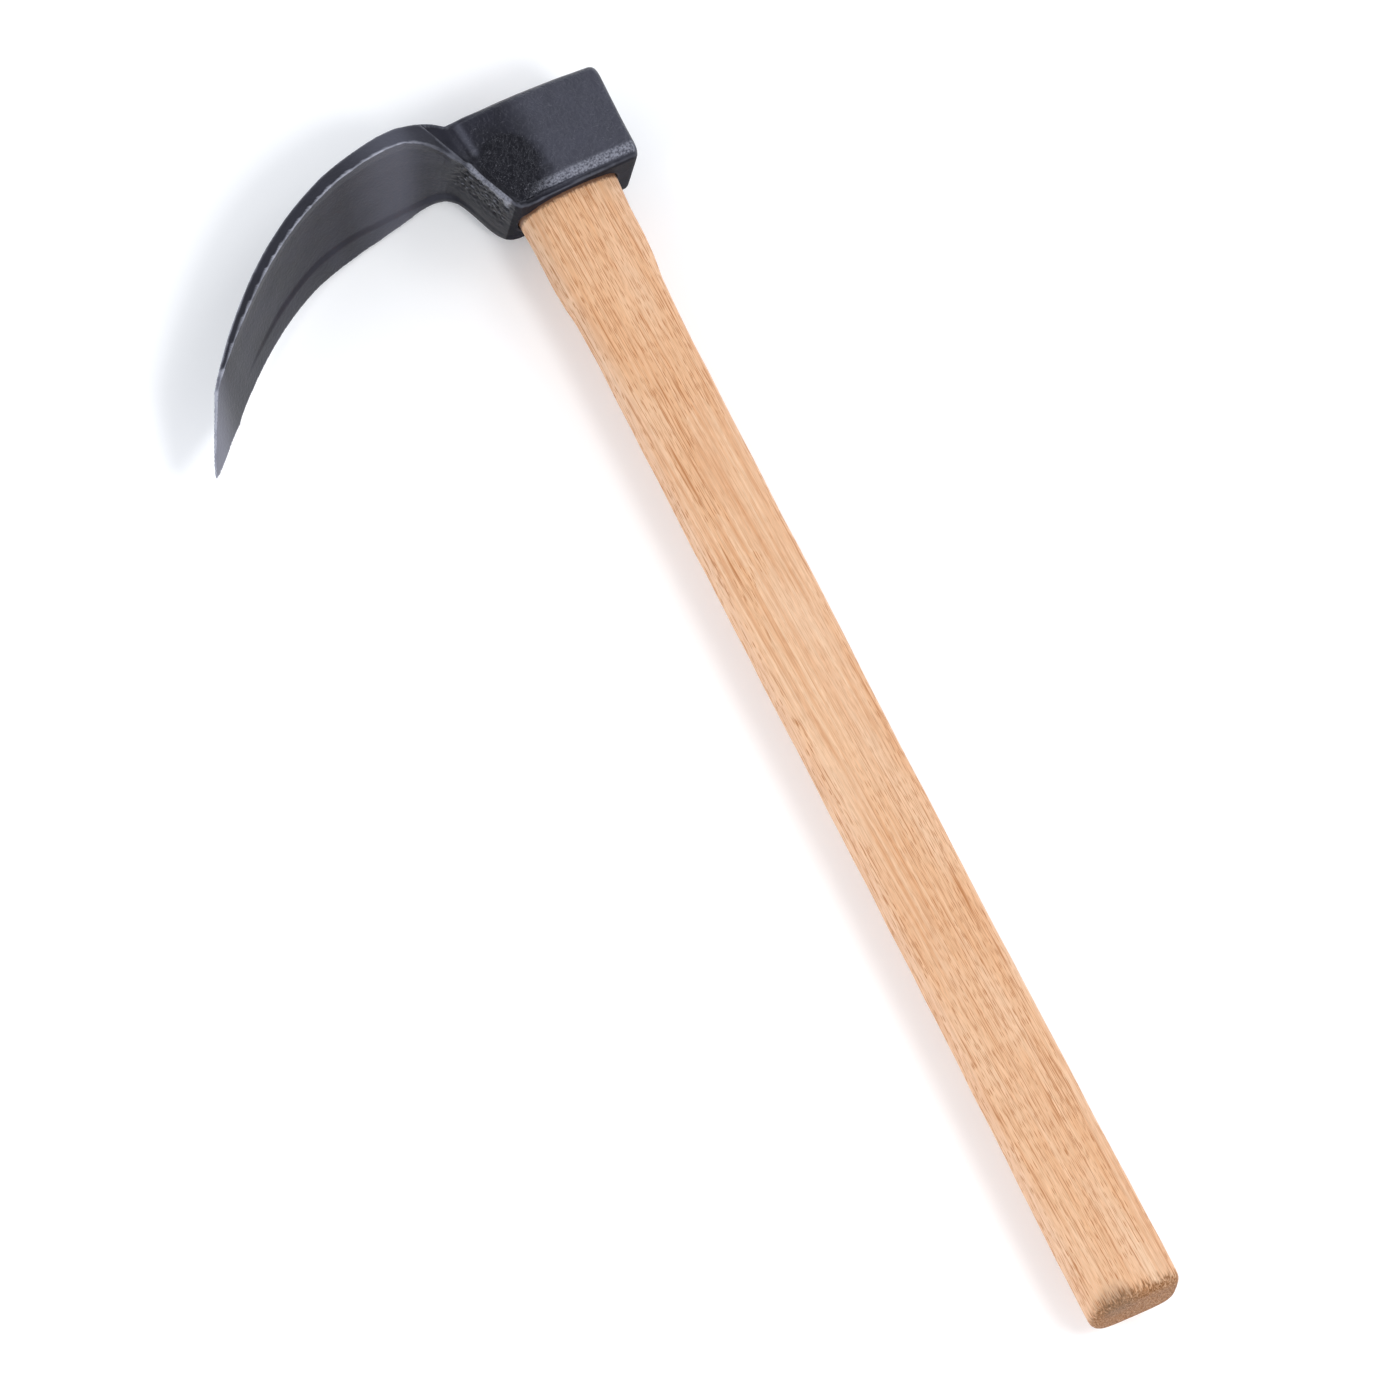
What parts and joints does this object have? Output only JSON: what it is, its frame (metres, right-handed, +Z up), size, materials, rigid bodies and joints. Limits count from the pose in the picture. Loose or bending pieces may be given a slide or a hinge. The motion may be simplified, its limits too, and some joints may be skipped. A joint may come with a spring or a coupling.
{
  "type": "draw hoe",
  "caption": "Short-handled draw hoe: a forged, black painted steel head with a square eye block and a curved, pointed blade, wedged on a pale wooden handle.",
  "frame": {"origin": "middle of the bottom of the bounding box of the hoe lying on its side", "axes": "+X along the handle from the head to the butt, +Y out of the head's flat back so the blade reaches towards -Y, +Z up"},
  "size_m": [0.424, 0.1594, 0.0376],
  "materials": {
    "black_painted_steel": "semi-gloss black paint on hammered forged steel",
    "pale_handle_wood": "sanded, unvarnished ash or oak",
    "wedge_wood": "split hardwood, sawn flush",
    "wedge_steel": "bare rolled steel"
  },
  "bodies": {
    "root": {"head": "black_painted_steel", "handle": "pale_handle_wood", "wooden_wedge": "wedge_wood", "steel_wedge": "wedge_steel"}
  },
  "joints": []
}
